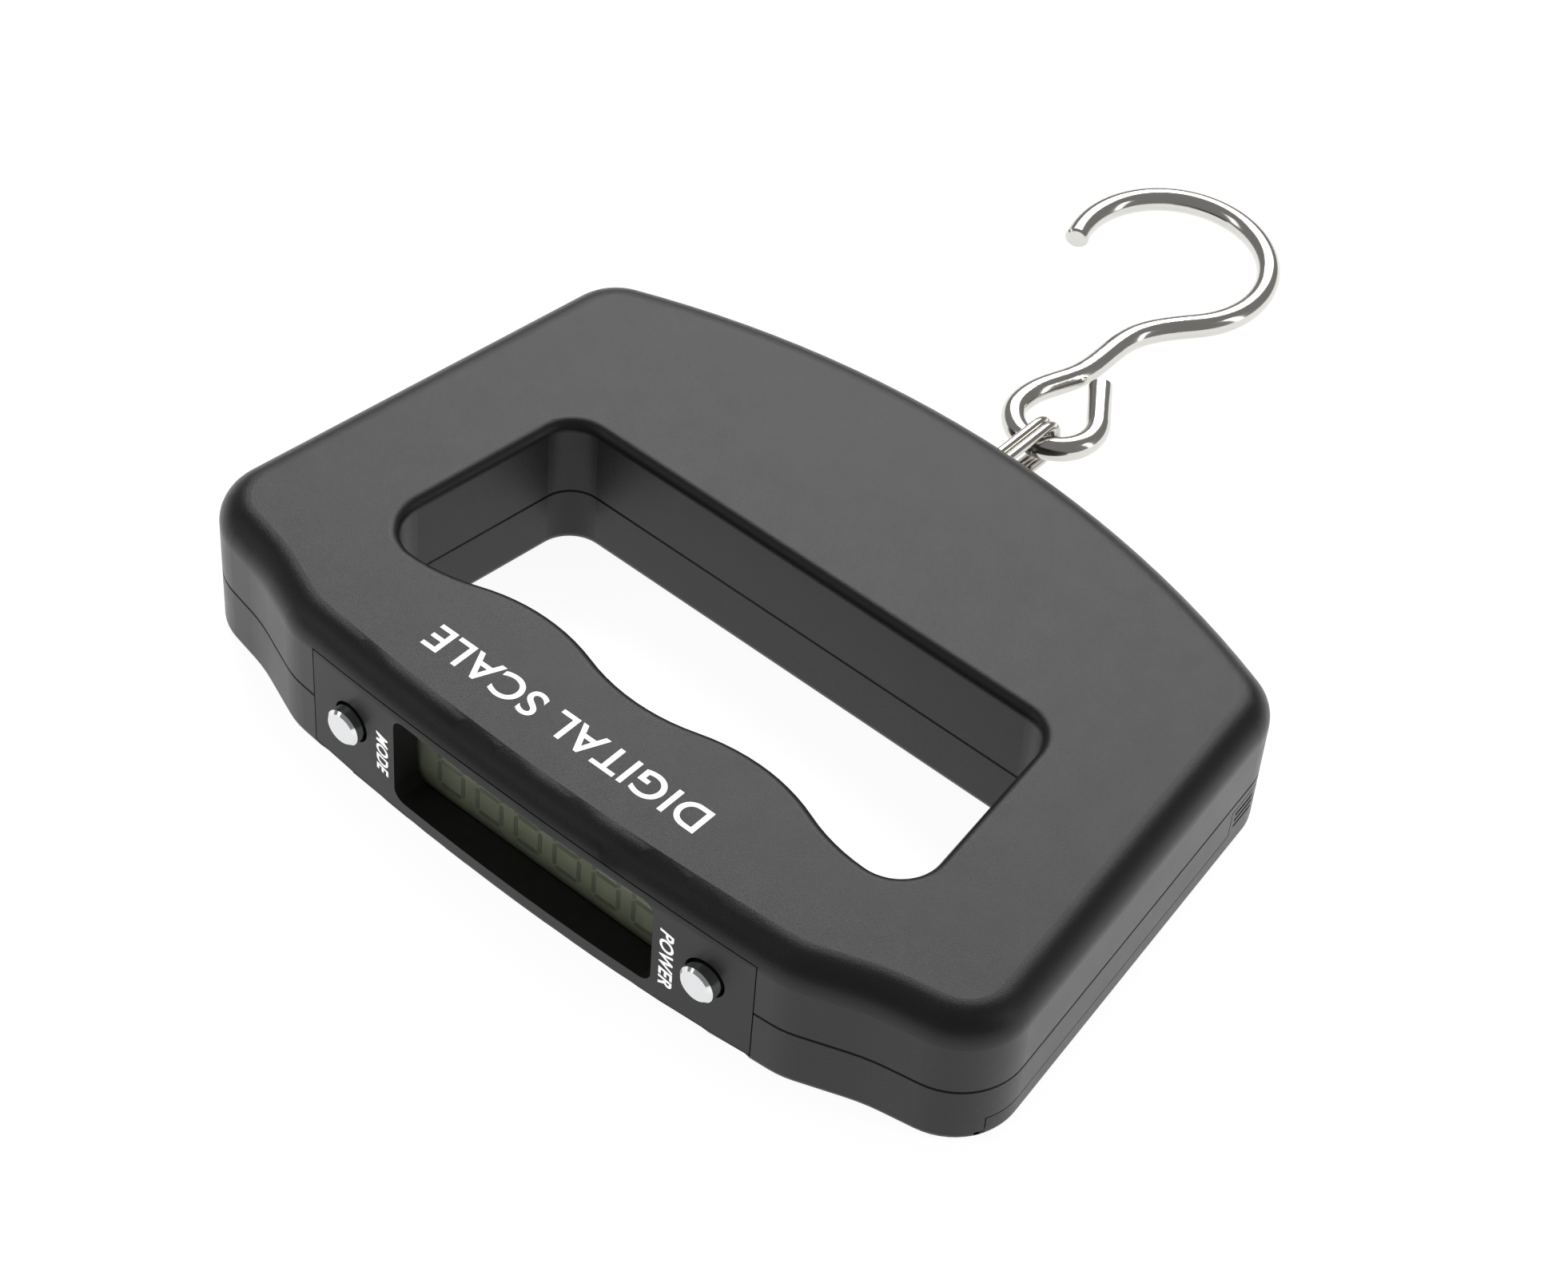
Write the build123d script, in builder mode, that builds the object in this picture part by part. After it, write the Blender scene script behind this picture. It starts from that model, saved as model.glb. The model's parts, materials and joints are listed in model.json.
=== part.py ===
"""Digital luggage scale: a closed grip ring with a display on one side and a hook on the other.

Frame: millimetres. The scale lies on its back: +Z is the front face, -Y is the display side,
+Y is the hook side, +X is to the right with the display side nearest. The origin is on the flat
back face, on the middle plane, under the centre of the load cell. Outline points are given by
their distance in from the display side, with at().
"""

import os
from math import atan2, cos, degrees, hypot, radians, sin, sqrt, tan

from build123d import *

os.makedirs("parts", exist_ok=True)

# ---------------------------------------------------------------- driving sizes
body_depth = 99.3
body_height = 24.2
seam_z = 10.5
wall = 2.2
fit_gap = 0.18

front_edge_r = 4.8
rear_edge_r = 1.3
grip_edge_r = 1.7
seam_bevel = 0.25

display_y = -79.0
panel_half = 41.4
panel_low = seam_z - 9.0
panel_high = seam_z + 9.5
panel_rise = 1.0
panel_sag = 0.5
display_bow = 1.9

hook_side_y = display_y + body_depth
inner_floor_z = wall
inner_roof_z = body_height - wall


def at(x, y, z=0.0):
    """A point given by its distance in from the display face."""
    return (x, display_y + y, z)


# ---------------------------------------------------------------- outlines
# Sharp corners of the right half, before rounding.
shoulder_run = 5.0
waist = at(57.5, 4.8)
ear_corner = at(74.4, 8.2)
hook_corner = at(64.9, 85.3)
shoulder_r = 14.0
waist_r = 30.0
ear_r = 10.4
hook_corner_r = 9.5
arm_slope = (ear_corner[0] - hook_corner[0]) / (hook_corner[1] - ear_corner[1])

hook_side_sag = hook_side_y - hook_corner[1]
hook_side_r = (hook_corner[0] ** 2 + hook_side_sag**2) / (2 * hook_side_sag)

grip_near_y = 22.0
grip_crest = (20.0, 25.2)
grip_dip = (42.3, 20.9)
grip_far_y = 57.6
grip_end_half = 45.4
grip_low_r = 6.6
grip_high_r = 5.5


def side_x(y):
    """The right side wall's X, y in from the display face."""
    return ear_corner[0] - arm_slope * (display_y + y - ear_corner[1])


def case_outline():
    """The case seen from the front: bowed display side, two ears, tapered sides, arched hook side."""
    arc_mid_x = hook_corner[0] / 2
    arc_mid_y = hook_side_y - hook_side_r + sqrt(hook_side_r**2 - arc_mid_x**2)
    with BuildSketch() as outline:
        with BuildLine():
            face = ThreePointArc(
                at(0, -display_bow),
                at(panel_half / 2, -0.75 * display_bow),
                at(panel_half, 0),
            )
            shoulder = face @ 1 + (face % 1) * shoulder_run
            Polyline(face @ 1, shoulder, waist, ear_corner, hook_corner)
            ThreePointArc(hook_corner, (arc_mid_x, arc_mid_y), (0, hook_side_y))
            mirror(about=Plane.YZ)
        make_face()
        corners = [
            (shoulder, shoulder_r),
            (waist, waist_r),
            (ear_corner, ear_r),
            (hook_corner, hook_corner_r),
        ]
        for corner, radius in corners:
            for side in (-1, 1):
                spot = Vector(side * Vector(corner).X, Vector(corner).Y)
                fillet(outline.vertices().sort_by_distance(spot)[0], radius)
    return outline.sketch


def swell(start, end):
    """Two equal arcs, level at both ends, that join two levels of the finger grip."""
    half_x = (end[0] - start[0]) / 2
    half_y = (end[1] - start[1]) / 2
    radius = (half_x**2 + half_y**2) / (2 * abs(half_y))
    bend = degrees(atan2(half_x, radius - abs(half_y)))
    if half_y < 0:
        bend = -bend
    first = JernArc(at(*start), (1, 0), radius, bend)
    return JernArc(first @ 1, first % 1, radius, -bend)


def grip_outline():
    """The hand opening: a wavy finger side towards the display, straight far side."""
    with BuildSketch() as outline:
        with BuildLine():
            swell((0, grip_near_y), grip_crest)
            swell(grip_crest, grip_dip)
            low_end = at(grip_dip[0] + grip_low_r, grip_dip[1] + grip_low_r)
            lean = atan2(low_end[0] - grip_end_half, display_y + grip_far_y - low_end[1])
            turn = JernArc(at(*grip_dip), (1, 0), grip_low_r, 90 + degrees(lean))
            high_x = (turn @ 1).X - (display_y + grip_far_y - (turn @ 1).Y) * tan(lean)
            FilletPolyline(turn @ 1, at(high_x, grip_far_y), at(0, grip_far_y), radius=grip_high_r)
            mirror(about=Plane.YZ)
        make_face()
    return outline.sketch


case_face = case_outline()
case_inner = offset(case_face, amount=-wall)
grip_face = grip_outline()
grip_outer = offset(grip_face, amount=wall)


# ---------------------------------------------------------------- shared layout
# shell screws: (x, distance in from the display face)
shell_screw_spots = [(-62.5, 15.5), (47.5, 9.6), (-57.5, 80.0), (52.0, 84.6), (-26.0, 90.5), (26.0, 90.5)]
screw_shank_r = 1.2
screw_head_r = 2.3
screw_seat_z = 5.0
screw_head_h = 1.8
screw_length = 13.0
boss_r = 3.1

# battery door, in arm coordinates: square across from the arm's middle line, and along the arm
door_inner = -8.6
door_start = 11.0
door_end = 80.6
door_thickness = 1.8
door_rim_z = 4.0
tab_start = 73.4
tab_z = 8.8
tongue_depth = 0.9
tongue_half = 7.0
tongue_z = 1.05

# AAA cells, stacked askew in the right arm
cell_r = 5.25
cell_body_length = 43.7
cell_nub_r = 1.9
cell_nub_length = 0.8
cell_length = cell_body_length + cell_nub_length
cell_start = 22.0
arm_mid_x = 60.55
arm_mid_y = 25.0
arm_angle = degrees(atan2(arm_slope, 1.0))
near_rib = 16.9
far_rib = 70.2
rib_t = 1.4
rib_low_z = 3.6
lower_cell = (-3.5, inner_floor_z + 0.45 + cell_r)
upper_cell = (3.5, inner_roof_z - 0.35 - cell_r)

# display stack, distances in from the display face
bezel_thickness = 2.0
flange_near = 2.6
flange_far = 3.3
window_half = 24.4
window_low = seam_z - 7.2
window_high = seam_z + 9.1
window_corner_r = 2.0
tunnel_wall = 1.0
tunnel_end = 3.4
lens_thickness = 0.8
glass_thickness = 1.1
pcb_near = 10.5
pcb_thickness = 1.6

# buttons and their switches
button_x = 33.4
button_z = seam_z + 1.2
button_r = 2.95
button_hole_r = 3.35
button_proud = 2.1
button_flange_r = 4.2
switch_side = 6.0
switch_height = 3.5
plunger_r = 1.75
plunger_gap = 0.05
plunger_proud = 1.1

# load cell and pull chain
mid_z = seam_z
cell_block_x = 20.0
cell_block_near = 67.0
cell_block_far = 90.0
cell_block_t = 10.0
pin_y = 94.0
pin_r = 1.6
link_wire_r = 0.8
link_end_r = 3.3
link_x = -0.4
link_lane = link_wire_r + 0.05
slot_half_x = 2.7
slot_half_z = link_end_r + link_wire_r + 1.8
hook_wire_r = 1.95
eye_r = 6.6
loop_r = 15.9
loop_reach = 44.4
hook_yaw = 13.1
hook_pivot_y = 113.8
eye_x = -1.6
eye_y = hook_pivot_y + sqrt(eye_r**2 - (eye_x - link_x) ** 2)
link_outer_y = hook_pivot_y + 0.5


def upright(deep):
    """A sketch plane facing the display side, deep in from the display face: x right, y up."""
    return Plane(origin=(0, display_y + deep, 0), x_dir=(1, 0, 0), z_dir=(0, -1, 0))


def arm_point(across, along, z):
    """A point in the right arm: square across from its middle line at the depth called along."""
    middle_x = arm_mid_x - arm_slope * (along - arm_mid_y)
    lean = radians(arm_angle)
    return at(middle_x + across * cos(lean), along + across * sin(lean), z)


def arm_prism(across_from, along_from, along_to, low_z, high_z):
    """A block in the right arm, from across_from out past the side wall."""
    across_to = 30.0
    with BuildPart() as prism:
        with BuildSketch(Plane.XY.offset(low_z)):
            with BuildLine():
                Polyline(
                    arm_point(across_from, along_from, 0),
                    arm_point(across_to, along_from, 0),
                    arm_point(across_to, along_to, 0),
                    arm_point(across_from, along_to, 0),
                    close=True,
                )
            make_face()
        extrude(amount=high_z - low_z)
    return prism.part


def door_region(grow):
    """The part of the case that the battery door takes up, grown by a gap."""
    low_z = -1.0
    with BuildPart() as region:
        add(arm_prism(door_inner - grow, door_start - grow, door_end + grow, low_z, door_rim_z + grow))
        add(arm_prism(door_inner - grow, tab_start - grow, door_end + grow, low_z, tab_z + grow))
    return region.part


def panel_prism(grow, deep):
    """The cut-out for the display bezel: gently arched long edges, square ends."""
    half = panel_half + grow
    low = panel_low - grow
    high = panel_high + grow
    with BuildPart() as prism:
        with BuildSketch(upright(deep)):
            with BuildLine():
                ThreePointArc((-half, low), (0, low - panel_sag), (half, low))
                Line((half, low), (half, high))
                ThreePointArc((half, high), (0, high + panel_rise), (-half, high))
                Line((-half, high), (-half, low))
            make_face()
        extrude(amount=deep + 2 * display_bow)
    return prism.part


def rounded_block(low_z, high_z, rounded_end, edge_r):
    """One half of the case as a solid block with the edges of its outer face rounded."""
    with BuildPart() as block:
        with BuildSketch(Plane.XY.offset(low_z)):
            add(case_face)
            add(grip_face, mode=Mode.SUBTRACT)
        extrude(amount=high_z - low_z)
        outer_face = block.faces().sort_by(Axis.Z)[rounded_end]
        fillet(outer_face.outer_wire().edges(), radius=edge_r)
        outer_face = block.faces().sort_by(Axis.Z)[rounded_end]
        fillet(outer_face.inner_wires()[0].edges(), radius=grip_edge_r)
    return block.part


front_block = rounded_block(seam_z, body_height, -1, front_edge_r)
back_block = rounded_block(0.0, seam_z, 0, rear_edge_r)


# ---------------------------------------------------------------- front shell
def build_front_shell():
    front_h = body_height - seam_z
    with BuildPart() as front_shell:
        add(front_block)
        seam_face = front_shell.faces().sort_by(Axis.Z)[0]
        chamfer(seam_face.edges(), length=seam_bevel)
        with BuildSketch(Plane.XY.offset(seam_z)):
            add(case_inner)
            add(grip_outer, mode=Mode.SUBTRACT)
        extrude(amount=front_h - wall, mode=Mode.SUBTRACT)
        # screw bosses hanging from the roof, with pilot holes
        with BuildSketch(Plane.XY.offset(seam_z)):
            with Locations([at(x, y) for x, y in shell_screw_spots]):
                Circle(boss_r)
        extrude(amount=inner_roof_z - seam_z)
        with BuildSketch(Plane.XY.offset(seam_z)):
            with Locations([at(x, y) for x, y in shell_screw_spots]):
                Circle(screw_shank_r)
        extrude(amount=screw_length - (seam_z - screw_seat_z) + 2.0, mode=Mode.SUBTRACT)
        # two ribs that close the battery bay and carry its contacts
        for along in (near_rib, far_rib):
            rib_middle = arm_point(0, along, (inner_roof_z + rib_low_z) / 2)
            with Locations(Location(rib_middle, (0, 0, arm_angle))):
                Box(17.4, rib_t, inner_roof_z - rib_low_z)
        for across, height in (lower_cell, upper_cell):
            with Locations(Location(arm_point(across, near_rib, height), (0, 0, arm_angle))):
                Box(2.6, 3 * rib_t, 2.2, mode=Mode.SUBTRACT)
        add(panel_prism(fit_gap, flange_far), mode=Mode.SUBTRACT)
        # the slot that the link comes out of
        with Locations(at(0, body_depth, mid_z)):
            Box(2 * slot_half_x, 4 * wall, 2 * slot_half_z, mode=Mode.SUBTRACT)
    return front_shell.part


# ---------------------------------------------------------------- rear shell
load_screw_spots = [(-14.0, 70.4), (14.0, 70.4)]
load_screw_r = 2.0
load_screw_tip_z = 3.2
ledge_half = 1.6
ledge_length = 38.0
ledge_t = 1.0
tongue_t = 0.6


def build_rear_shell():
    with BuildPart() as rear_shell:
        add(back_block)
        seam_face = rear_shell.faces().sort_by(Axis.Z)[-1]
        chamfer(seam_face.edges(), length=seam_bevel)
        with BuildSketch(Plane.XY.offset(inner_floor_z)):
            add(case_inner)
            add(grip_outer, mode=Mode.SUBTRACT)
        extrude(amount=seam_z, mode=Mode.SUBTRACT)
        # screw towers, counterbored from the back
        with BuildSketch(Plane.XY.offset(inner_floor_z - 0.5)):
            with Locations([at(x, y) for x, y in shell_screw_spots]):
                Circle(boss_r + 0.5)
        extrude(amount=seam_z - inner_floor_z + 0.5)
        with BuildSketch():
            with Locations([at(x, y) for x, y in shell_screw_spots]):
                Circle(screw_head_r + 0.2)
        extrude(amount=screw_seat_z, mode=Mode.SUBTRACT)
        with BuildSketch():
            with Locations([at(x, y) for x, y in shell_screw_spots]):
                Circle(screw_shank_r + 0.15)
        extrude(amount=seam_z + 1, mode=Mode.SUBTRACT)
        # pedestals that the load cell is bolted to
        with BuildSketch(Plane.XY.offset(inner_floor_z - 0.5)):
            with Locations([at(x, y) for x, y in load_screw_spots]):
                Circle(4.6)
        extrude(amount=mid_z - cell_block_t / 2 - inner_floor_z + 0.5)
        with BuildSketch(Plane.XY.offset(load_screw_tip_z)):
            with Locations([at(x, y) for x, y in load_screw_spots]):
                Circle(load_screw_r)
        extrude(amount=seam_z, mode=Mode.SUBTRACT)
        # battery door opening, with a groove along each end for the door's tongues
        add(door_region(fit_gap), mode=Mode.SUBTRACT)
        groove_low = tongue_z - tongue_t / 2 - fit_gap
        groove_high = tongue_z + tongue_t / 2 + fit_gap
        groove_reach = tongue_depth + 2 * fit_gap
        groove_inner = -tongue_half - fit_gap
        add(
            arm_prism(
                groove_inner,
                door_start - groove_reach,
                door_end + groove_reach,
                groove_low,
                groove_high,
            ),
            mode=Mode.SUBTRACT,
        )
        # ledge above the door's inner edge
        ledge_mid = (door_start + door_end) / 2
        ledge_z = door_thickness + 0.2 + ledge_t / 2
        with Locations(Location(arm_point(door_inner, ledge_mid, ledge_z), (0, 0, arm_angle))):
            Box(2 * ledge_half, ledge_length, ledge_t)
        # recess for the display bezel, and clear space above the floor behind it
        add(panel_prism(fit_gap, bezel_thickness + fit_gap), mode=Mode.SUBTRACT)
        with Locations(at(0, flange_far / 2, inner_floor_z + seam_z / 2)):
            Box(2 * (panel_half + fit_gap), flange_far, seam_z, mode=Mode.SUBTRACT)
        with Locations(at(0, body_depth, mid_z)):
            Box(2 * slot_half_x, 4 * wall, 2 * slot_half_z, mode=Mode.SUBTRACT)
    return rear_shell.part


# ---------------------------------------------------------------- battery door
door_side = (side_x(arm_mid_y) - arm_mid_x) * cos(radians(arm_angle))


def build_battery_door():
    """Sliding door: a plate in the back, a low rim in the side wall and a ribbed thumb tab."""
    groove_heights = [5.2, 6.4, 7.6]
    groove_length = door_end - tab_start - 2.0
    tab_mid = (tab_start + door_end) / 2
    with BuildPart() as battery_door:
        add(back_block)
        add(door_region(0.0), mode=Mode.INTERSECT)
        with BuildSketch(Plane.XY.offset(door_thickness)):
            offset(case_face, amount=-door_thickness)
        extrude(amount=seam_z, mode=Mode.SUBTRACT)
        # a tongue along each end, held in the case's grooves
        for along in (door_start, door_end):
            with Locations(Location(arm_point(0, along, tongue_z), (0, 0, arm_angle))):
                Box(2 * tongue_half, 2 * tongue_depth, tongue_t)
        # thumb grooves across the tab
        for height in groove_heights:
            spot = arm_point(door_side, tab_mid, height)
            with Locations(Location(spot, (0, 0, arm_angle))):
                Box(1.0, groove_length, 0.5, mode=Mode.SUBTRACT)
    return battery_door.part


# ---------------------------------------------------------------- display bezel
pcb_post_spots = [(x, z) for x in (-29.4, 29.4) for z in (seam_z - 5.6, seam_z + 7.6)]
pcb_post_r = 1.8
pcb_screw_r = 0.8


def build_display_bezel():
    with BuildPart() as display_bezel:
        add(front_block)
        add(back_block)
        add(panel_prism(0.0, bezel_thickness), mode=Mode.INTERSECT)
        # flange behind the case wall
        flange_low = inner_floor_z + 0.15
        flange_high = inner_roof_z - 0.2
        with BuildSketch(upright(flange_far)):
            with Locations((0, (flange_low + flange_high) / 2)):
                Rectangle(2 * (panel_half + 1.2), flange_high - flange_low)
        extrude(amount=flange_far - flange_near)
        with BuildSketch(upright(flange_near)):
            with Locations((0, (flange_low + panel_high) / 2)):
                Rectangle(2 * (panel_half - 0.5), panel_high - flange_low)
        extrude(amount=flange_near - bezel_thickness + 0.5)
        # tunnel round the display window
        window_mid = (window_low + window_high) / 2
        window_h = window_high - window_low
        with BuildSketch(upright(tunnel_end)):
            with Locations((0, window_mid)):
                Rectangle(2 * (window_half + tunnel_wall), window_h + 2 * tunnel_wall - 0.1)
        extrude(amount=tunnel_end - flange_near)
        with BuildSketch(upright(tunnel_end + 1)):
            with Locations((0, window_mid)):
                RectangleRounded(2 * window_half, window_h, window_corner_r)
        extrude(amount=12, mode=Mode.SUBTRACT)
        # posts for the circuit board
        with BuildSketch(upright(pcb_near)):
            with Locations(pcb_post_spots):
                Circle(pcb_post_r)
        extrude(amount=pcb_near - flange_far + 0.2)
        with BuildSketch(upright(pcb_near)):
            with Locations(pcb_post_spots):
                Circle(pcb_screw_r)
        extrude(amount=5.0, mode=Mode.SUBTRACT)
        # button holes
        with BuildSketch(upright(flange_far + 1)):
            with Locations((-button_x, button_z), (button_x, button_z)):
                Circle(button_hole_r)
        extrude(amount=12, mode=Mode.SUBTRACT)
    return display_bezel.part


# ---------------------------------------------------------------- display stack
def flat_plate(x_half, z_low, z_high, near, thickness):
    """A plate facing the display side."""
    with BuildPart() as plate:
        with BuildSketch(upright(near + thickness)):
            with Locations((0, (z_low + z_high) / 2)):
                Rectangle(2 * x_half, z_high - z_low)
        extrude(amount=thickness)
    return plate.part


lens_near = tunnel_end
front_glass_near = lens_near + lens_thickness
rear_glass_near = front_glass_near + glass_thickness
reflector_near = rear_glass_near + glass_thickness
glass_half = window_half + 1.4
glass_low = inner_floor_z + 0.3
glass_high = window_high + 0.8
rear_glass_low = glass_low + 2.6


def build_lcd():
    lcd_window = flat_plate(window_half + 0.9, window_low - 0.8, window_high + 0.8, lens_near, lens_thickness)
    lcd_front_glass = flat_plate(glass_half, glass_low, glass_high, front_glass_near, glass_thickness)
    lcd_rear_glass = flat_plate(glass_half, rear_glass_low, glass_high, rear_glass_near, glass_thickness)
    lcd_reflector = flat_plate(glass_half - 0.6, rear_glass_low + 0.4, glass_high - 0.4, reflector_near, 0.25)
    zebra_depth = pcb_near - rear_glass_near
    zebra_low = glass_low + 0.2
    zebra_high = rear_glass_low - 0.3
    zebra_strip = flat_plate(glass_half - 3, zebra_low, zebra_high, rear_glass_near, zebra_depth)
    return lcd_window, lcd_front_glass, lcd_rear_glass, lcd_reflector, zebra_strip


# ---------------------------------------------------------------- circuit board
pcb_half = 40.0
pcb_low = inner_floor_z + 0.3
pcb_high = inner_roof_z - 0.5
pcb_far = pcb_near + pcb_thickness


def build_main_pcb():
    with BuildPart() as main_pcb:
        with BuildSketch(upright(pcb_far)):
            with Locations((0, (pcb_low + pcb_high) / 2)):
                RectangleRounded(2 * pcb_half, pcb_high - pcb_low, 1.0)
            with Locations(pcb_post_spots):
                Circle(pcb_screw_r + 0.1, mode=Mode.SUBTRACT)
        extrude(amount=pcb_thickness)
    return main_pcb.part


def build_chip_blob():
    """Epoxy drop over the measuring chip: a shallow dome on the board's back."""
    with BuildPart() as chip_blob:
        with BuildSketch(Plane.XY):
            with BuildLine():
                ThreePointArc((0, 2.0), (3.2, 1.5), (6.0, 0))
                Line((6.0, 0), (0, 0))
                Line((0, 0), (0, 2.0))
            make_face()
        revolve(axis=Axis.Y)
    spot = Location(at(-12, pcb_far, mid_z + 1))
    return spot * chip_blob.part


def build_board_parts():
    """Surface-mount blocks on the board's back, one solid each."""
    blocks = [(4, 4, 3.2, 1.6, 1.2), (10, 4, 3.2, 1.6, 1.2), (4, -1, 2.0, 1.2, 0.7), (8, -1, 2.0, 1.2, 0.7),
              (12, -1, 2.0, 1.2, 0.7), (20, 2, 4.6, 3.0, 1.6)]
    with BuildPart() as board_parts:
        for x, z, width, tall, deep in blocks:
            with Locations(at(x, pcb_far + deep / 2, mid_z + z)):
                Box(width, deep, tall)
    return board_parts.part


def build_switch_bodies():
    with BuildPart() as switch_bodies:
        for x in (-button_x, button_x):
            with BuildSketch(upright(pcb_near)):
                with Locations((x, button_z)):
                    Rectangle(switch_side, switch_side)
            extrude(amount=switch_height)
            with BuildSketch(upright(pcb_near - switch_height + 1.8)):
                with Locations((x, button_z)):
                    Circle(plunger_r + plunger_gap)
            extrude(amount=5.0, mode=Mode.SUBTRACT)
    return switch_bodies.part


plunger_near = pcb_near - switch_height - plunger_proud


def build_plunger(x):
    with BuildPart() as plunger:
        with BuildSketch(upright(plunger_near + plunger_proud + 1.1)):
            with Locations((x, button_z)):
                Circle(plunger_r)
        extrude(amount=plunger_proud + 1.1)
    return plunger.part


def build_button(x):
    """Plated cap with a bevelled face, a flange behind the bezel and a short stem."""
    face_y = display_bow * (1 - (button_x / panel_half) ** 2) + button_proud
    flange_at = flange_far + 0.1
    with BuildPart() as button:
        with BuildSketch(upright(flange_at + 0.9)):
            with Locations((x, button_z)):
                Circle(button_flange_r)
        extrude(amount=0.9)
        with BuildSketch(upright(flange_at)):
            with Locations((x, button_z)):
                Circle(button_r)
        extrude(amount=flange_at + face_y)
        rim = button.faces().sort_by(Axis.Y)[0].edges()
        chamfer(rim, length=0.45)
        with BuildSketch(upright(plunger_near)):
            with Locations((x, button_z)):
                Circle(1.4)
        extrude(amount=plunger_near - flange_at - 0.5)
    return button.part


def turned_screw(head_r, head_h, shank_r, shank_length, recess_r):
    """A pan-head screw pointing down -Z from its seat at the origin, with a cross recess."""
    with BuildPart() as screw:
        with BuildSketch():
            Circle(head_r)
        extrude(amount=head_h)
        chamfer(screw.faces().sort_by(Axis.Z)[-1].edges(), length=0.3 * head_h)
        with BuildSketch():
            Circle(shank_r)
        extrude(amount=-shank_length)
        with Locations((0, 0, head_h)):
            Box(2 * recess_r, 0.5 * recess_r, head_h, mode=Mode.SUBTRACT)
            Box(0.5 * recess_r, 2 * recess_r, head_h, mode=Mode.SUBTRACT)
    return screw.part


def build_pcb_screws():
    screw = turned_screw(1.6, 1.0, pcb_screw_r, 4.6, 0.9)
    screws = []
    for x, z in pcb_post_spots:
        screws.append(Location(at(x, pcb_far, z), (-90, 0, 0)) * screw)
    return Compound(children=screws)


def build_shell_screws():
    screw = turned_screw(screw_head_r, screw_head_h, screw_shank_r, screw_length - screw_head_h, 1.2)
    screws = []
    for x, y in shell_screw_spots:
        screws.append(Location(at(x, y, screw_seat_z), (180, 0, 0)) * screw)
    return Compound(children=screws)


# ---------------------------------------------------------------- load cell
cell_top_z = mid_z + cell_block_t / 2
cell_low_z = mid_z - cell_block_t / 2
slit_near = 73.6
slit_far = 82.4
slit_width = 1.4
fork_end = 96.4
fork_t = 3.2
gauge_spots = [75.8, 80.2]


def build_load_cell():
    """S-shaped sensing block: bolted limb, necked middle, and a forked limb that holds the pin."""
    with BuildPart() as load_cell:
        with BuildSketch(Plane.XY.offset(cell_low_z)):
            with Locations(at(0, (cell_block_near + cell_block_far) / 2)):
                Rectangle(2 * cell_block_x, cell_block_far - cell_block_near)
            with Locations(at(-4, slit_near)):
                Rectangle(2 * cell_block_x, slit_width, mode=Mode.SUBTRACT)
            with Locations(at(4, slit_far)):
                Rectangle(2 * cell_block_x, slit_width, mode=Mode.SUBTRACT)
            with Locations(at(-4, (slit_near + slit_far) / 2), at(4, (slit_near + slit_far) / 2)):
                Circle(2.6, mode=Mode.SUBTRACT)
            with Locations([at(x, y) for x, y in load_screw_spots]):
                Circle(load_screw_r + 0.15, mode=Mode.SUBTRACT)
        extrude(amount=cell_block_t)
        fork_depth = fork_end - cell_block_far
        for side in (-1, 1):
            with Locations(at(side * (slot_half_x + fork_t / 2), cell_block_far + fork_depth / 2, mid_z)):
                Box(fork_t, fork_depth, 8.0)
        with Locations(Location(at(0, pin_y, mid_z), (0, 90, 0))):
            Cylinder(pin_r, 20, mode=Mode.SUBTRACT)
        # pocket that the link turns in
        with Locations(at(0, cell_block_far, mid_z)):
            Box(2 * slot_half_x, 4.6, cell_block_t, mode=Mode.SUBTRACT)
    return load_cell.part


def build_strain_gauges():
    """Foil gauges bonded over the two thinned webs, one solid each."""
    with BuildPart() as strain_gauges:
        for x in (-4, 4):
            for y in gauge_spots:
                with Locations(at(x, y, cell_top_z + 0.06)):
                    Box(5.0, 2.0, 0.12)
    return strain_gauges.part


def build_load_screws():
    screw = turned_screw(3.4, 2.2, load_screw_r, cell_top_z - load_screw_tip_z - 0.1, 1.7)
    screws = []
    for x, y in load_screw_spots:
        screws.append(Location(at(x, y, cell_top_z)) * screw)
    return Compound(children=screws)


def build_link_pin():
    with BuildPart() as link_pin:
        with Locations(Location(at(0, pin_y, mid_z), (0, 90, 0))):
            Cylinder(pin_r, 11.4)
    return link_pin.part


# ---------------------------------------------------------------- link and hook
def build_link_ring():
    """Split link of two turns side by side; the wire changes lane along its lower side."""
    inner_y = display_y + pin_y
    outer_y = display_y + link_outer_y
    low_z = mid_z - link_end_r
    high_z = mid_z + link_end_r
    cross_from = inner_y + 11.0
    cross_to = inner_y + 7.0

    def turn(x, start_y, end_y):
        """One turn round the link in the plane x, from start_y out, over and back to end_y."""
        Line((x, start_y, low_z), (x, outer_y, low_z))
        ThreePointArc((x, outer_y, low_z), (x, outer_y + link_end_r, mid_z), (x, outer_y, high_z))
        Line((x, outer_y, high_z), (x, inner_y, high_z))
        ThreePointArc((x, inner_y, high_z), (x, inner_y - link_end_r, mid_z), (x, inner_y, low_z))
        Line((x, inner_y, low_z), (x, end_y, low_z))

    with BuildPart() as link_ring:
        with BuildLine() as path:
            turn(link_x - link_lane, cross_from + 0.6, cross_to)
            Spline(
                (link_x - link_lane, cross_to, low_z),
                (link_x + link_lane, cross_from, low_z),
                tangents=((0, 1, 0), (0, 1, 0)),
            )
            turn(link_x + link_lane, cross_from, cross_to - 0.6)
        start = Plane(origin=path.line @ 0, z_dir=path.line % 0)
        with BuildSketch(start):
            Circle(link_wire_r)
        sweep(path=path.line)
    return link_ring.part


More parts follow.
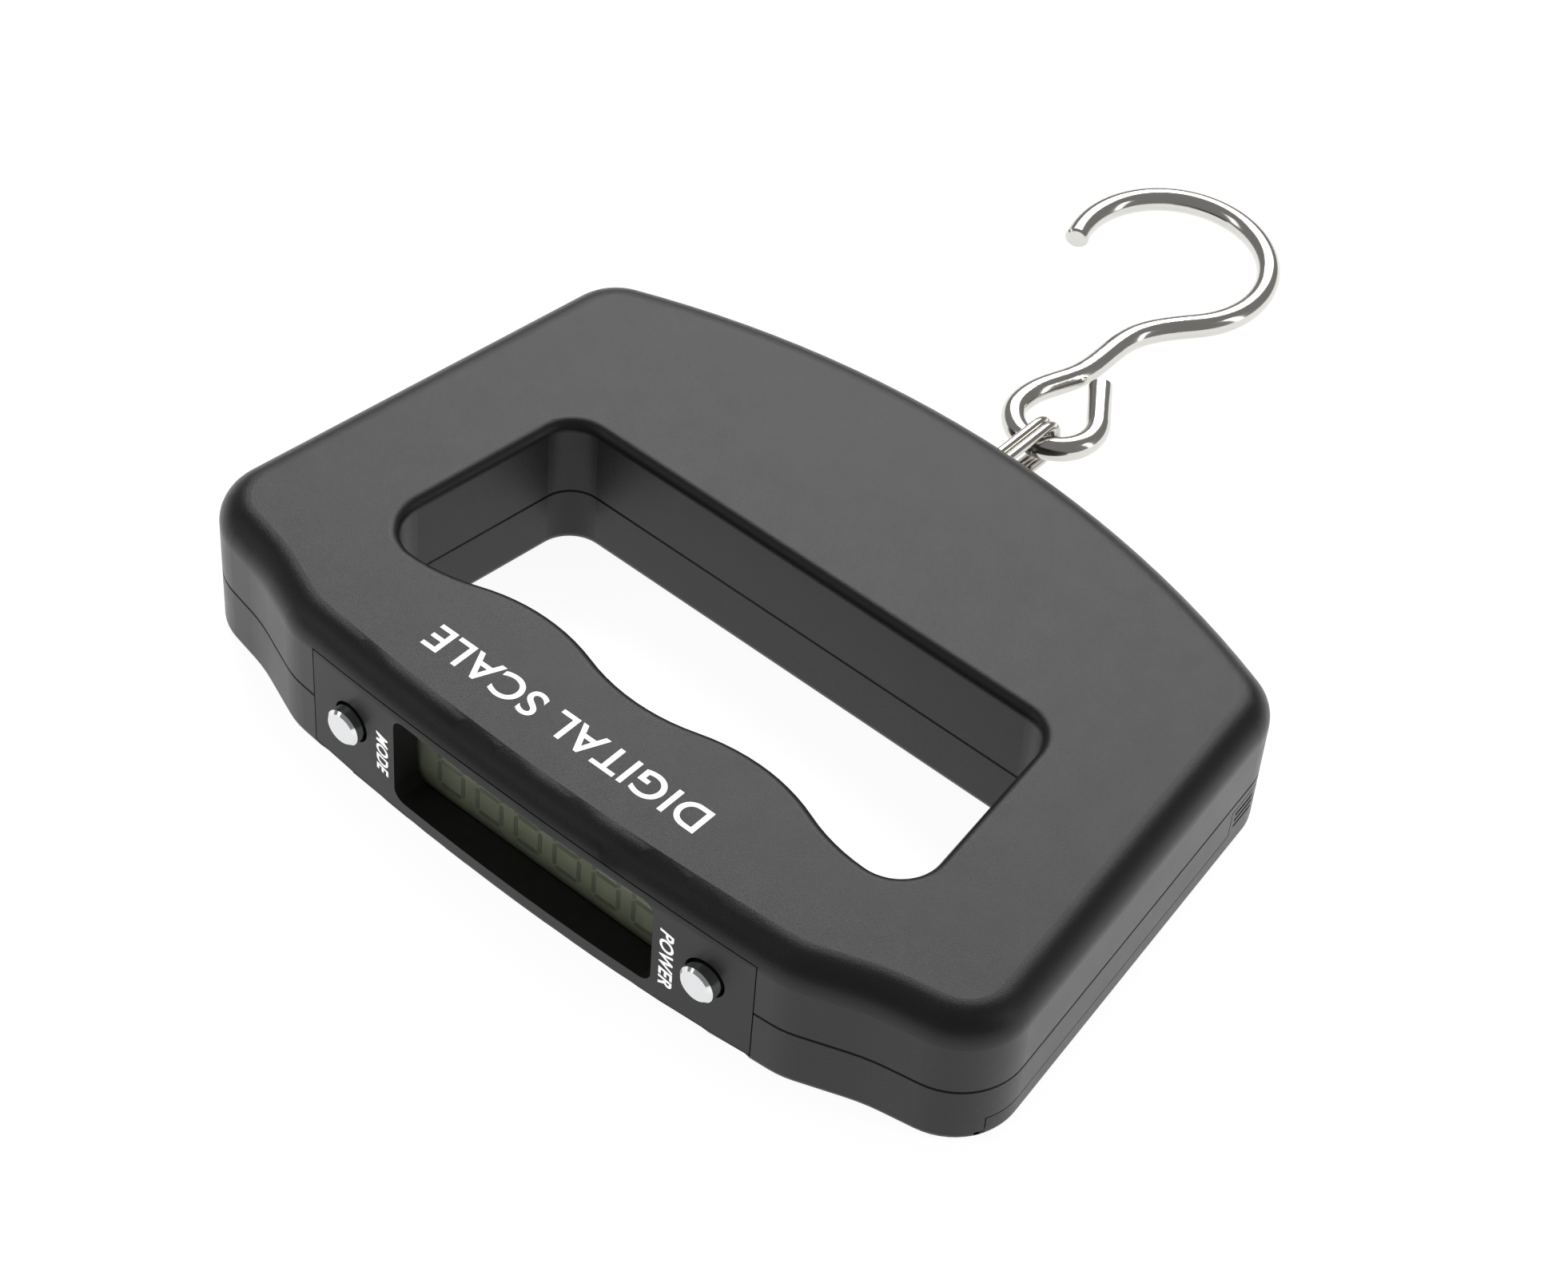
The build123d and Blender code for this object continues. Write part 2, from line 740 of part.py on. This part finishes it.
def build_hook():
    """Bent wire: an eye, a swan-necked shank and a three-quarter loop, laid level."""
    free_end = Vector(2.75, 10.8)
    reach = hypot(free_end.X, free_end.Y)
    free_side = atan2(free_end.Y, free_end.X) - atan2(sqrt(reach**2 - eye_r**2), eye_r)
    neck_from = radians(172.0)
    neck_to = radians(-50.0)
    tip_angle = 190.8
    neck_start = Vector(eye_r * cos(neck_from), eye_r * sin(neck_from))
    loop_mid = Vector(0, loop_reach)
    loop_start = loop_mid + Vector(loop_r * cos(neck_to), loop_r * sin(neck_to))
    place = Location(at(eye_x, eye_y, mid_z), (0, 0, hook_yaw))
    with BuildPart() as hook:
        with BuildLine() as path:
            tangent_at = Vector(eye_r * cos(free_side), eye_r * sin(free_side))
            Line(free_end, tangent_at)
            CenterArc((0, 0), eye_r, degrees(free_side), degrees(neck_from) - degrees(free_side) - 360)
            Spline(
                neck_start,
                (-1.5, 10.9),
                (0.5, 17.6),
                (2.6, 24.4),
                loop_start,
                tangents=((sin(neck_from), -cos(neck_from)), (-sin(neck_to), cos(neck_to))),
            )
            CenterArc(loop_mid, loop_r, degrees(neck_to), tip_angle - degrees(neck_to))
        start = Plane(origin=path.line @ 0, z_dir=path.line % 0)
        with BuildSketch(start):
            Circle(hook_wire_r)
        sweep(path=path.line)
        ends = hook.faces().filter_by(GeomType.PLANE)
        chamfer(ends.edges(), length=0.35)
    return place * hook.part


# ---------------------------------------------------------------- batteries and contacts
def arm_location(across, along, z, flip):
    """Places a piece made along +Y into the arm, pointing to the hook side, or back if flipped."""
    turn = arm_angle + (180 if flip else 0)
    return Location(arm_point(across, along, z), (0, 0, turn))


def build_battery_cells():
    with BuildPart() as cell:
        with BuildSketch(Plane.XZ):
            Circle(cell_r)
        extrude(amount=-cell_body_length)
        fillet(cell.edges(), radius=0.5)
        with BuildSketch(Plane.XZ):
            Circle(cell_nub_r)
        extrude(amount=-cell_length)
    lower = arm_location(lower_cell[0], cell_start, lower_cell[1], False) * cell.part
    upper_start = cell_start + cell_length * cos(radians(arm_angle))
    upper = arm_location(upper_cell[0], upper_start, upper_cell[1], True)
    return Compound(children=[lower, upper * cell.part])


contact_t = 0.4
near_contact = near_rib + (rib_t + contact_t) / 2 + 0.02
far_contact = far_rib - (rib_t + contact_t) / 2 - 0.02


def contact_plate(across, along, z):
    """Thin plated square that stands against a bay rib."""
    with BuildPart() as plate:
        with Locations(Location(arm_point(across, along, z), (0, 0, arm_angle))):
            Box(7.0, contact_t, 7.4)
    return plate.part


def build_contact_plates():
    near = [contact_plate(x, near_contact, z) for x, z in (lower_cell, upper_cell)]
    with BuildPart() as bridge:
        mid_across = (lower_cell[0] + upper_cell[0]) / 2
        mid_height = (lower_cell[1] + upper_cell[1]) / 2
        with Locations(Location(arm_point(mid_across, far_contact, mid_height), (0, 0, arm_angle))):
            Box(14.0, contact_t, 15.6)
    return Compound(children=near + [bridge.part])


def contact_spring(across, z, seat, tip):
    """Conical wire spring between a contact plate and the flat end of a cell."""
    length = abs(tip - seat)
    wire_r = 0.3
    turns = 4
    with BuildPart() as spring:
        with BuildLine() as path:
            Helix(pitch=length / turns, height=length, radius=3.2, cone_angle=0)
        start = Plane(origin=path.line @ 0, z_dir=path.line % 0)
        with BuildSketch(start):
            Circle(wire_r)
        sweep(path=path.line, is_frenet=True)
    lay = Location((0, 0, 0), (-90, 0, 0))
    return arm_location(across, seat, z, tip < seat) * lay * spring.part


def build_contact_springs():
    near_end = contact_spring(lower_cell[0], lower_cell[1], near_contact + 0.55, cell_start - 0.35)
    far_cell_end = cell_start + cell_length * cos(radians(arm_angle))
    far_end = contact_spring(upper_cell[0], upper_cell[1], far_contact - 0.55, far_cell_end + 0.35)
    return Compound(children=[near_end, far_end])


# ---------------------------------------------------------------- wiring
lead_r = 0.45


def routed_lead(points, radius):
    """An insulated wire along straight runs with rounded corners."""
    with BuildPart() as lead:
        with BuildLine() as path:
            FilletPolyline(*points, radius=radius)
        start = Plane(origin=path.line @ 0, z_dir=path.line % 0)
        with BuildSketch(start):
            Circle(lead_r)
        sweep(path=path.line)
    return lead.part


def build_load_leads():
    """Four leads from the gauges, round the left arm, to the circuit board."""
    leads = []
    z = cell_top_z + 1.0
    for count in range(4):
        step = count * (2 * lead_r + 0.1)
        points = [
            at(-14.0, 75.0 + step, z),
            at(-50.0 - step, 75.0 + step, z),
            at(-54.5 - step, 30.0, z),
            at(-54.5 - step, 17.6 - step, z),
            at(-34.0 - step, 17.6 - step, z),
            at(-34.0 - step, pcb_far + 0.05, z),
        ]
        leads.append(routed_lead(points, 1.6))
    return Compound(children=leads)


def build_battery_leads():
    """One lead from each near contact, through the rib's notches, to the circuit board."""
    leads = []
    for (across, height), end_x in ((lower_cell, pcb_half - 3.0), (upper_cell, pcb_half - 5.0)):
        start = arm_point(across, near_contact - contact_t / 2 - 0.05, height)
        points = [
            start,
            at(start[0], 14.0, height),
            at(end_x, 14.0, height),
            at(end_x, pcb_far + 0.05, height),
        ]
        leads.append(routed_lead(points, 1.2))
    return Compound(children=leads)


# ---------------------------------------------------------------- export
lcd_window, lcd_front_glass, lcd_rear_glass, lcd_reflector, zebra_strip = build_lcd()

pieces = {
    "front_shell": build_front_shell(),
    "rear_shell": build_rear_shell(),
    "battery_door": build_battery_door(),
    "display_bezel": build_display_bezel(),
    "lcd_window": lcd_window,
    "lcd_front_glass": lcd_front_glass,
    "lcd_rear_glass": lcd_rear_glass,
    "lcd_reflector": lcd_reflector,
    "zebra_strip": zebra_strip,
    "main_pcb": build_main_pcb(),
    "chip_blob": build_chip_blob(),
    "board_parts": build_board_parts(),
    "switch_bodies": build_switch_bodies(),
    "unit_plunger": build_plunger(-button_x),
    "tare_plunger": build_plunger(button_x),
    "unit_button": build_button(-button_x),
    "tare_button": build_button(button_x),
    "pcb_screws": build_pcb_screws(),
    "shell_screws": build_shell_screws(),
    "load_cell": build_load_cell(),
    "strain_gauges": build_strain_gauges(),
    "load_cell_screws": build_load_screws(),
    "link_pin": build_link_pin(),
    "link_ring": build_link_ring(),
    "hook": build_hook(),
    "battery_cells": build_battery_cells(),
    "contact_plates": build_contact_plates(),
    "contact_springs": build_contact_springs(),
    "load_cell_leads": build_load_leads(),
    "battery_leads": build_battery_leads(),
}

for name, piece in pieces.items():
    piece.label = name
    export_step(piece, f"parts/{name}.step")
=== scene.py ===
"""Looks for the digital luggage scale: materials, printed marks, display digits, floor, light, camera."""

import json
import math

import bmesh
import bpy
from mathutils import Matrix, Vector


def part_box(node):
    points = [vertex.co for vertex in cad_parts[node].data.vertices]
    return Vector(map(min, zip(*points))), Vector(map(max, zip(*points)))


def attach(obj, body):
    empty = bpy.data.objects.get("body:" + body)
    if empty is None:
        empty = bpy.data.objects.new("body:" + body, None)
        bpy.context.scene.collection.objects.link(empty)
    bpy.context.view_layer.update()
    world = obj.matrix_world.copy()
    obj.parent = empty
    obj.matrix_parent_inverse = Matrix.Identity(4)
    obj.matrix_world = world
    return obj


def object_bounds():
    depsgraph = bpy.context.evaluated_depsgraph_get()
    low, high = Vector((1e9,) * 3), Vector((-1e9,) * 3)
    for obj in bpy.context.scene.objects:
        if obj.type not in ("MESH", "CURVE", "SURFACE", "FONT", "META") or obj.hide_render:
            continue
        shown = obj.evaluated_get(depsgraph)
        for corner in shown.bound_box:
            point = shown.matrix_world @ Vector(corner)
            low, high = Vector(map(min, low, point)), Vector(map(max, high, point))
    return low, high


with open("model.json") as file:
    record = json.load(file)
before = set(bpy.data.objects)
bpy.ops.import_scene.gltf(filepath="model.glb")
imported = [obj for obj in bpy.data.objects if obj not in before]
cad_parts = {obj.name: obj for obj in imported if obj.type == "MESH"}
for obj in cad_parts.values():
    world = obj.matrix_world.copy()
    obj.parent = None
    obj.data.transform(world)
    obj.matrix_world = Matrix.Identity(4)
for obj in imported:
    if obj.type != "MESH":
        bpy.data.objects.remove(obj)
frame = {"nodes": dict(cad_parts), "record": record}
cad_low, cad_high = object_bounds()

MM = 0.001
WHITE = (1, 1, 1, 1)

# ---------------------------------------------------------------- places read from the frame
_, front_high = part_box("front_shell")
bezel_low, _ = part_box("display_bezel")
glass_low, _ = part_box("lcd_front_glass")
lens_low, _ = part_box("lcd_window")
unit_low, unit_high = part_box("unit_button")
tare_low, tare_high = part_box("tare_button")
unit_mid = (unit_low + unit_high) / 2
tare_mid = (tare_low + tare_high) / 2

# The bowed display face: how far its middle stands out, and half its width. The frame doesn't
# give these two, so they repeat display_bow and panel_half of the CAD part.
face_bow = 1.9 * MM
face_half = 41.4 * MM
face_end_y = bezel_low.y + face_bow


# ---------------------------------------------------------------- shader helpers
# nearly all values of a noise lie between these two
noise_floor = 0.3
noise_ceiling = 0.7


def new_material(name):
    """An empty Principled material, its node tree and its shader."""
    material = bpy.data.materials.new(name)
    material.use_nodes = True
    tree = material.node_tree
    shader = tree.nodes["Principled BSDF"]
    return material, tree, shader


def object_noise(tree, scale, detail=3.0, roughness=0.55):
    """Noise over the object's own coordinates, so that it stays put when the piece moves."""
    place = tree.nodes.new("ShaderNodeTexCoord")
    noise = tree.nodes.new("ShaderNodeTexNoise")
    noise.inputs["Scale"].default_value = scale
    noise.inputs["Detail"].default_value = detail
    noise.inputs["Roughness"].default_value = roughness
    tree.links.new(place.outputs["Object"], noise.inputs["Vector"])
    return noise


def spread(tree, noise, low, high):
    """The noise mapped to the range low..high."""
    ranger = tree.nodes.new("ShaderNodeMapRange")
    ranger.inputs["From Min"].default_value = noise_floor
    ranger.inputs["From Max"].default_value = noise_ceiling
    ranger.inputs["To Min"].default_value = low
    ranger.inputs["To Max"].default_value = high
    tree.links.new(noise.outputs["Fac"], ranger.inputs["Value"])
    return ranger.outputs["Result"]


def tinted(tree, noise, dark, light):
    """The noise mapped to a blend of two colours."""
    mix = tree.nodes.new("ShaderNodeMix")
    mix.data_type = "RGBA"
    mix.inputs["A"].default_value = (*dark, 1)
    mix.inputs["B"].default_value = (*light, 1)
    tree.links.new(spread(tree, noise, 0, 1), mix.inputs["Factor"])
    return mix.outputs["Result"]


def bumped(tree, shader, noise, strength, depth):
    """The shader's normal, bumped by the noise to the given depth."""
    bump = tree.nodes.new("ShaderNodeBump")
    bump.inputs["Strength"].default_value = strength
    bump.inputs["Distance"].default_value = depth
    tree.links.new(noise.outputs["Fac"], bump.inputs["Height"])
    tree.links.new(bump.outputs["Normal"], shader.inputs["Normal"])


def moulded_plastic(name, dark, light, roughness, grain_size, grain_strength):
    """Moulded plastic: spark-eroded grain, faint mottling and uneven gloss between two roughnesses."""
    material, tree, shader = new_material(name)
    mottling = object_noise(tree, scale=60.0)
    tree.links.new(tinted(tree, mottling, dark, light), shader.inputs["Base Color"])
    gloss = object_noise(tree, scale=220.0)
    tree.links.new(spread(tree, gloss, *roughness), shader.inputs["Roughness"])
    grain = object_noise(tree, scale=1 / grain_size, detail=4.0, roughness=0.7)
    bumped(tree, shader, grain, grain_strength, depth=0.05 * MM)
    shader.inputs["IOR"].default_value = 1.5
    shader.inputs["Specular IOR Level"].default_value = 0.30
    return material


def plated_metal(name, colour, roughness, wave_strength=0.05):
    """Bright plating with faint waviness and hazy patches between two roughnesses."""
    material, tree, shader = new_material(name)
    shader.inputs["Metallic"].default_value = 1.0
    haze = object_noise(tree, scale=150.0)
    paler = tuple(min(1.0, c * 1.04) for c in colour)
    tree.links.new(tinted(tree, haze, colour, paler), shader.inputs["Base Color"])
    tree.links.new(spread(tree, haze, *roughness), shader.inputs["Roughness"])
    waves = object_noise(tree, scale=700.0, detail=2.0)
    bumped(tree, shader, waves, wave_strength, depth=0.02 * MM)
    return material


def plain_gloss(name, colour, roughness, noise_scale=300.0, glow=0.0):
    """Small pieces and inks: a slightly uneven colour, and an emission glow, painted light, where it has
    to read brighter.
    """
    material, tree, shader = new_material(name)
    noise = object_noise(tree, noise_scale)
    darker = tuple(c * 0.85 for c in colour)
    tree.links.new(tinted(tree, noise, darker, colour), shader.inputs["Base Color"])
    shader.inputs["Roughness"].default_value = roughness
    shader.inputs["Emission Color"].default_value = WHITE
    shader.inputs["Emission Strength"].default_value = glow
    bumped(tree, shader, noise, strength=0.1, depth=0.03 * MM)
    return material


def clear_lens(name):
    """A thin clear cover: most light passes straight through it, and the rest is its gloss."""
    material, _, shader = new_material(name)
    shader.inputs["Base Color"].default_value = (0.02, 0.02, 0.02, 1)
    shader.inputs["Roughness"].default_value = 0.05
    shader.inputs["Alpha"].default_value = 0.22
    return material


# ---------------------------------------------------------------- materials by slot
slot_materials = {
    "case_black": moulded_plastic(
        "case_black",
        dark=(0.0120, 0.0125, 0.0125),
        light=(0.0135, 0.0140, 0.0140),
        roughness=(0.295, 0.325),
        grain_size=0.22 * MM,
        grain_strength=0.80,
    ),
    "door_black": moulded_plastic(
        "door_black",
        dark=(0.0110, 0.0115, 0.0115),
        light=(0.0130, 0.0135, 0.0135),
        roughness=(0.31, 0.34),
        grain_size=0.22 * MM,
        grain_strength=0.80,
    ),
    "bezel_black": moulded_plastic(
        "bezel_black",
        dark=(0.0150, 0.0155, 0.0150),
        light=(0.0165, 0.0170, 0.0165),
        roughness=(0.40, 0.43),
        grain_size=0.18 * MM,
        grain_strength=0.15,
    ),
    "lens_clear": clear_lens("lens_clear"),
    "lcd_glass": plain_gloss("lcd_glass", (0.40, 0.44, 0.30), 0.30),
    "lcd_green": plain_gloss("lcd_green", (0.10, 0.11, 0.07), 0.45),
    "zebra_rubber": plain_gloss("zebra_rubber", (0.60, 0.25, 0.33), 0.6),
    "board_green": plain_gloss("board_green", (0.02, 0.14, 0.05), 0.35),
    "chip_epoxy": plain_gloss("chip_epoxy", (0.012, 0.012, 0.012), 0.25),
    "switch_plastic": plain_gloss("switch_plastic", (0.03, 0.03, 0.03), 0.4),
    "button_chrome": plated_metal("button_chrome", (0.74, 0.75, 0.76), (0.10, 0.16)),
    "screw_steel": plated_metal("screw_steel", (0.50, 0.51, 0.53), (0.25, 0.38)),
    "cell_aluminium": plated_metal("cell_aluminium", (0.72, 0.73, 0.75), (0.30, 0.42), 0.2),
    "gauge_foil": plain_gloss("gauge_foil", (0.70, 0.42, 0.12), 0.3),
    "pin_steel": plated_metal("pin_steel", (0.56, 0.57, 0.58), (0.15, 0.25)),
    "link_steel": plated_metal("link_steel", (0.58, 0.56, 0.52), (0.14, 0.21)),
    "hook_chrome": plated_metal("hook_chrome", (0.63, 0.615, 0.585), (0.11, 0.17)),
    "battery_wrap": plain_gloss("battery_wrap", (0.16, 0.18, 0.22), 0.25),
    "contact_nickel": plated_metal("contact_nickel", (0.66, 0.64, 0.58), (0.18, 0.3)),
    "lead_insulation": plain_gloss("lead_insulation", (0.75, 0.75, 0.72), 0.35),
    "lead_red": plain_gloss("lead_red", (0.50, 0.03, 0.02), 0.35),
}
lcd_ghost = plain_gloss("lcd_ghost", (0.17, 0.19, 0.13), 0.40, noise_scale=900.0)
# The white ink glows: painted light, so that the printed marks read brighter than their lighting alone
# makes them.
print_white_painted_glow = plain_gloss("print_white_painted_glow", (0.88, 0.89, 0.88), 0.55, noise_scale=900.0, glow=0.45)

node_slots = {part["node"]: part["material_slot"] for part in frame["record"]["subparts"]}
for node, cad_object in frame["nodes"].items():
    cad_object.data.materials.clear()
    cad_object.data.materials.append(slot_materials[node_slots[node]])


# ---------------------------------------------------------------- printed marks
# An ink layer is a closed solid, twice ink_half thick.
ink_half = 0.02 * MM
letter_spacing = 1.05

# The front line: its size, the added weight of its strokes, and its middle.
front_line_length = 51.0 * MM
front_line_height = 4.9 * MM
front_line_weight = 0.012
front_line_x = -3.4 * MM
front_line_y = face_end_y + 11.0 * MM

# The labels beside the buttons: their shared height, added weight and slant.
label_height = 2.4 * MM
label_weight = 0.02
label_slant = 0.25


def printed_text(name, words, length, height, place, weight=0.0, shear=0.0):
    """A line of raised capitals of the given length and height, laid by the matrix place."""
    curve = bpy.data.curves.new(name, "FONT")
    curve.body = words
    curve.size = 1.0
    curve.shear = shear
    curve.offset = weight
    curve.extrude = ink_half
    curve.space_character = letter_spacing
    text = bpy.data.objects.new(name + "_source", curve)
    bpy.context.collection.objects.link(text)
    bpy.context.view_layer.update()
    mesh = bpy.data.meshes.new_from_object(text.evaluated_get(bpy.context.evaluated_depsgraph_get()))
    bpy.data.objects.remove(text)
    xs = [vertex.co.x for vertex in mesh.vertices]
    ys = [vertex.co.y for vertex in mesh.vertices]
    middle = Vector(((min(xs) + max(xs)) / 2, (min(ys) + max(ys)) / 2, 0))
    sizes = (length / (max(xs) - min(xs)), height / (max(ys) - min(ys)), 1, 1)
    mesh.transform(place @ Matrix.Diagonal(sizes) @ Matrix.Translation(-middle))
    piece = bpy.data.objects.new(name, mesh)
    bpy.context.collection.objects.link(piece)
    mesh.materials.clear()
    mesh.materials.append(print_white_painted_glow)
    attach(piece, "case")


def laid(origin, along, up):
    """A placing matrix whose X runs along and whose Y runs up."""
    x = Vector(along).normalized()
    z = x.cross(Vector(up)).normalized()
    y = z.cross(x)
    turn = Matrix((x, y, z)).transposed().to_4x4()
    return Matrix.Translation(origin) @ turn


def face_point(x, z):
    """The middle of an ink layer on the bowed display face, and the way the face looks there."""
    y = face_end_y - face_bow * (1 - (x / face_half) ** 2)
    outward = Vector((2 * face_bow * x / face_half**2, -1, 0)).normalized()
    return Vector((x, y, z)) + outward * ink_half, outward


def button_label(name, words, length, x, z):
    """Slanted bold capitals on the display face, read from the front shell downwards."""
    down = Vector((0, 0, -1))
    origin, outward = face_point(x, z)
    place = laid(origin, down, outward.cross(down))
    printed_text(name, words, length, label_height, place, label_weight, label_slant)


# The front line runs towards -X with its letter tops towards the display side.
front_line_place = laid(
    Vector((front_line_x, front_line_y, front_high.z + ink_half)), along=(-1, 0, 0), up=(0, -1, 0)
)
printed_text(
    "front_mark",
    "DIGITAL SCALE",
    front_line_length,
    front_line_height,
    front_line_place,
    front_line_weight,
)
button_label("unit_mark", "MODE", 8.0 * MM, x=unit_mid.x + 6.6 * MM, z=unit_mid.z - 1.4 * MM)
button_label("tare_mark", "POWER", 11.5 * MM, x=tare_mid.x - 6.5 * MM, z=tare_mid.z - 1.2 * MM)


# ---------------------------------------------------------------- unlit display digits
digit_count = 6
digit_pitch = 7.4 * MM
digit_width = 4.6 * MM
digit_height = 9.6 * MM
digit_low = lens_low.z + 2.2 * MM
digits_left = -(digit_pitch * (digit_count - 1) + digit_width) / 2
digit_front_y = glass_low.y - 0.05 * MM
digit_back_y = glass_low.y - 0.01 * MM
bar_width = 0.16 * digit_width
bar_gap = 0.05 * digit_width


def bar_outline(corner, along, up, length):
    """One bar of a digit: a flat hexagon along the line from corner, in (x, z)."""
    tip = bar_width / 2
    shape = [(0, 0), (tip, tip), (length - tip, tip), (length, 0), (length - tip, -tip), (tip, -tip)]
    return [
        (corner[0] + along[0] * a + up[0] * b, corner[1] + along[1] * a + up[1] * b)
        for a, b in shape
    ]


def digit_bars(left):
    """The outlines of the seven bars of the digit whose left side is at left."""
    half = digit_height / 2
    level = (1, 0)
    upright = (0, 1)
    bars = []
    for z in (digit_low, digit_low + half, digit_low + digit_height):
        bars.append(bar_outline((left + bar_gap, z), level, upright, digit_width - 2 * bar_gap))
    for x in (left, left + digit_width):
        for z in (digit_low, digit_low + half):
            bars.append(bar_outline((x, z + bar_gap), upright, level, half - 2 * bar_gap))
    return bars


def add_prism(points, faces, outline):
    """The outline as a flat prism in front of the display glass, added to points and faces."""
    first = len(points)
    corners = len(outline)
    points.extend((x, digit_front_y, z) for x, z in outline)
    points.extend((x, digit_back_y, z) for x, z in outline)
    faces.append(tuple(range(first, first + corners)))
    faces.append(tuple(range(first + 2 * corners - 1, first + corners - 1, -1)))
    for corner in range(corners):
        front = first + corner
        front_next = first + (corner + 1) % corners
        faces.append((front_next, front, front + corners, front_next + corners))


digit_points = []
digit_faces = []
for count in range(digit_count):
    for bar in digit_bars(digits_left + count * digit_pitch):
        add_prism(digit_points, digit_faces, bar)
digits_mesh = bpy.data.meshes.new("display_digits")
digits_mesh.from_pydata(digit_points, [], digit_faces)
turned = bmesh.new()
turned.from_mesh(digits_mesh)
bmesh.ops.recalc_face_normals(turned, faces=turned.faces)
turned.to_mesh(digits_mesh)
turned.free()
digits_mesh.materials.append(lcd_ghost)
digits = bpy.data.objects.new("display_digits", digits_mesh)
bpy.context.collection.objects.link(digits)
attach(digits, "case")


# ---------------------------------------------------------------- floor
# A grey floor that also glows, so that it reads white and still shows a faint shadow.
floor_reach = 4.0
floor_drop = 0.1 * MM
floor_grey = 0.32
floor_glow = 0.92

floor_mesh = bpy.data.meshes.new("floor")
floor_corners = [
    (-floor_reach, -floor_reach, 0),
    (floor_reach, -floor_reach, 0),
    (floor_reach, floor_reach, 0),
    (-floor_reach, floor_reach, 0),
]
floor_mesh.from_pydata(floor_corners, [], [(0, 1, 2, 3)])
floor = bpy.data.objects.new("floor", floor_mesh)
floor.location.z = cad_low.z - floor_drop
bpy.context.collection.objects.link(floor)
floor_material, _, floor_shader = new_material("floor_white")
floor_shader.inputs["Base Color"].default_value = (floor_grey, floor_grey, floor_grey, 1)
floor_shader.inputs["Roughness"].default_value = 0.9
floor_shader.inputs["Specular IOR Level"].default_value = 0.0
floor_shader.inputs["Emission Color"].default_value = WHITE
floor_shader.inputs["Emission Strength"].default_value = floor_glow
floor_mesh.materials.append(floor_material)


# ---------------------------------------------------------------- light
world_strength = 0.24


def area_light(name, place, width, height, power):
    """A rectangular lamp aimed at the origin. Sizes are in metres and power is in watts."""
    light = bpy.data.lights.new(name, "AREA")
    light.shape = "RECTANGLE"
    light.size = width
    light.size_y = height
    light.energy = power
    lamp = bpy.data.objects.new(name, light)
    lamp.location = place
    lamp.rotation_euler = (-Vector(place)).to_track_quat("-Z", "Y").to_euler()
    bpy.context.collection.objects.link(lamp)


area_light("back_softbox", place=(-0.75, 1.15, 1.35), width=1.7, height=1.1, power=30.0)
area_light("right_strip", place=(1.3, 0.5, 0.55), width=0.25, height=1.2, power=2.4)
area_light("left_strip", place=(-0.9, -0.9, 0.8), width=0.35, height=0.9, power=1.4)

world = bpy.data.worlds.new("studio")
world.use_nodes = True
world.node_tree.nodes["Background"].inputs["Color"].default_value = WHITE
world.node_tree.nodes["Background"].inputs["Strength"].default_value = world_strength
bpy.context.scene.world = world


# ---------------------------------------------------------------- camera
view_azimuth = math.radians(37.497)
view_elevation = math.radians(45.857)
view_roll = math.radians(4.847)
camera_place = Vector((232.45, -328.04, 405.40)) * MM

camera_data = bpy.data.cameras.new("camera")
camera_data.sensor_fit = "HORIZONTAL"
camera_data.sensor_width = 36.0
camera_data.lens = 86.85
camera_data.clip_start = 0.01
camera_data.clip_end = 50.0
camera = bpy.data.objects.new("camera", camera_data)
forward = Vector(
    (
        -math.sin(view_azimuth) * math.cos(view_elevation),
        math.cos(view_azimuth) * math.cos(view_elevation),
        -math.sin(view_elevation),
    )
)
upright_view = forward.to_track_quat("-Z", "Y").to_matrix()
rolled_view = upright_view @ Matrix.Rotation(view_roll, 3, "Z")
camera.matrix_world = Matrix.Translation(camera_place) @ rolled_view.to_4x4()
bpy.context.collection.objects.link(camera)
bpy.context.scene.camera = camera
bpy.context.scene.view_settings.view_transform = "Standard"
